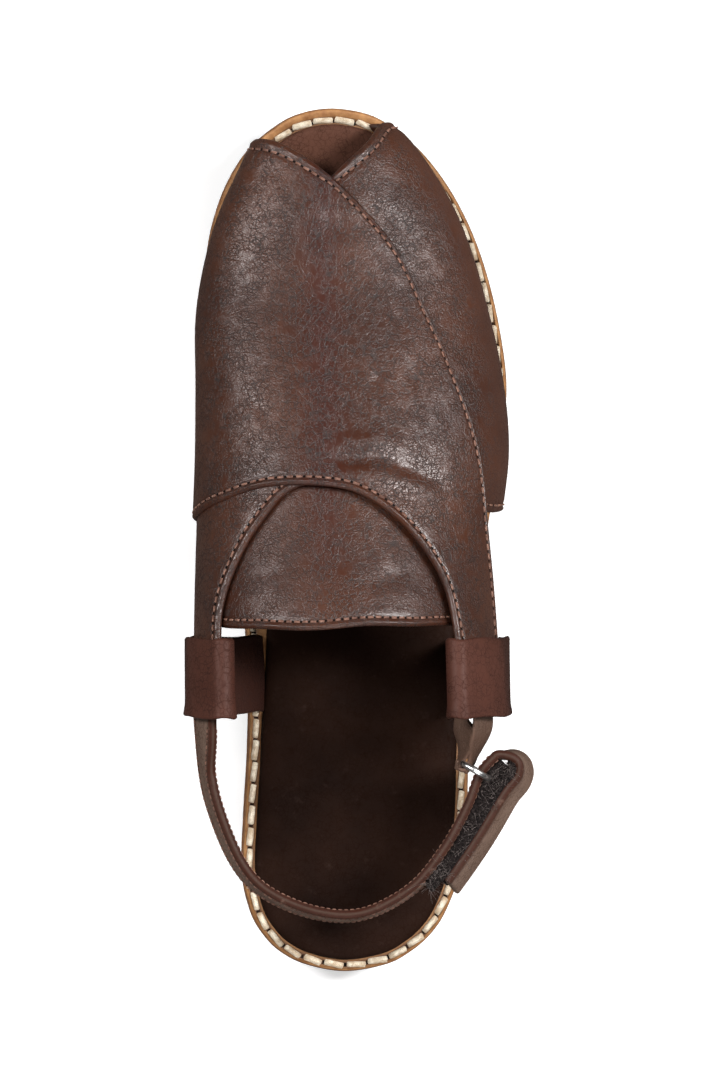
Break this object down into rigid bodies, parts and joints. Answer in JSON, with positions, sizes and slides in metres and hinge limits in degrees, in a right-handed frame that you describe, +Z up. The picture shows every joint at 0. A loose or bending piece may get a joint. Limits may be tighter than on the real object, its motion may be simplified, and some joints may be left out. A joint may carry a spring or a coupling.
{
  "type": "peshawari chappal",
  "caption": "Right-foot leather sandal with two wide bands crossing over an open toe, a low heel, and a slung heel strap that closes through a metal ring.",
  "frame": {"origin": "middle of the heel's flat ground face, on the floor", "axes": "+Y from heel to toe, +X to the outer side of the right foot, +Z up"},
  "size_m": [0.1143, 0.288, 0.0857],
  "materials": {
    "outsole": "raw cut edge, matte",
    "midsole": "natural tan, matte",
    "insole": "smooth, satin",
    "heel": "stacked, matte",
    "upper": "fine grain, soft shine",
    "keeper": "smooth, satin",
    "ring": "polished",
    "fuzz": "hook and loop"
  },
  "bodies": {
    "root": {"outsole": "outsole", "midsole": "midsole", "insole": "insole", "heel": "heel", "upper": "upper", "tongue": "upper", "keeper_medial": "keeper", "keeper_lateral": "keeper", "heel_strap": "upper", "ring_tab": "keeper", "ring": "ring", "loop_tape": "fuzz", "hook_tape": "fuzz"}
  },
  "joints": []
}
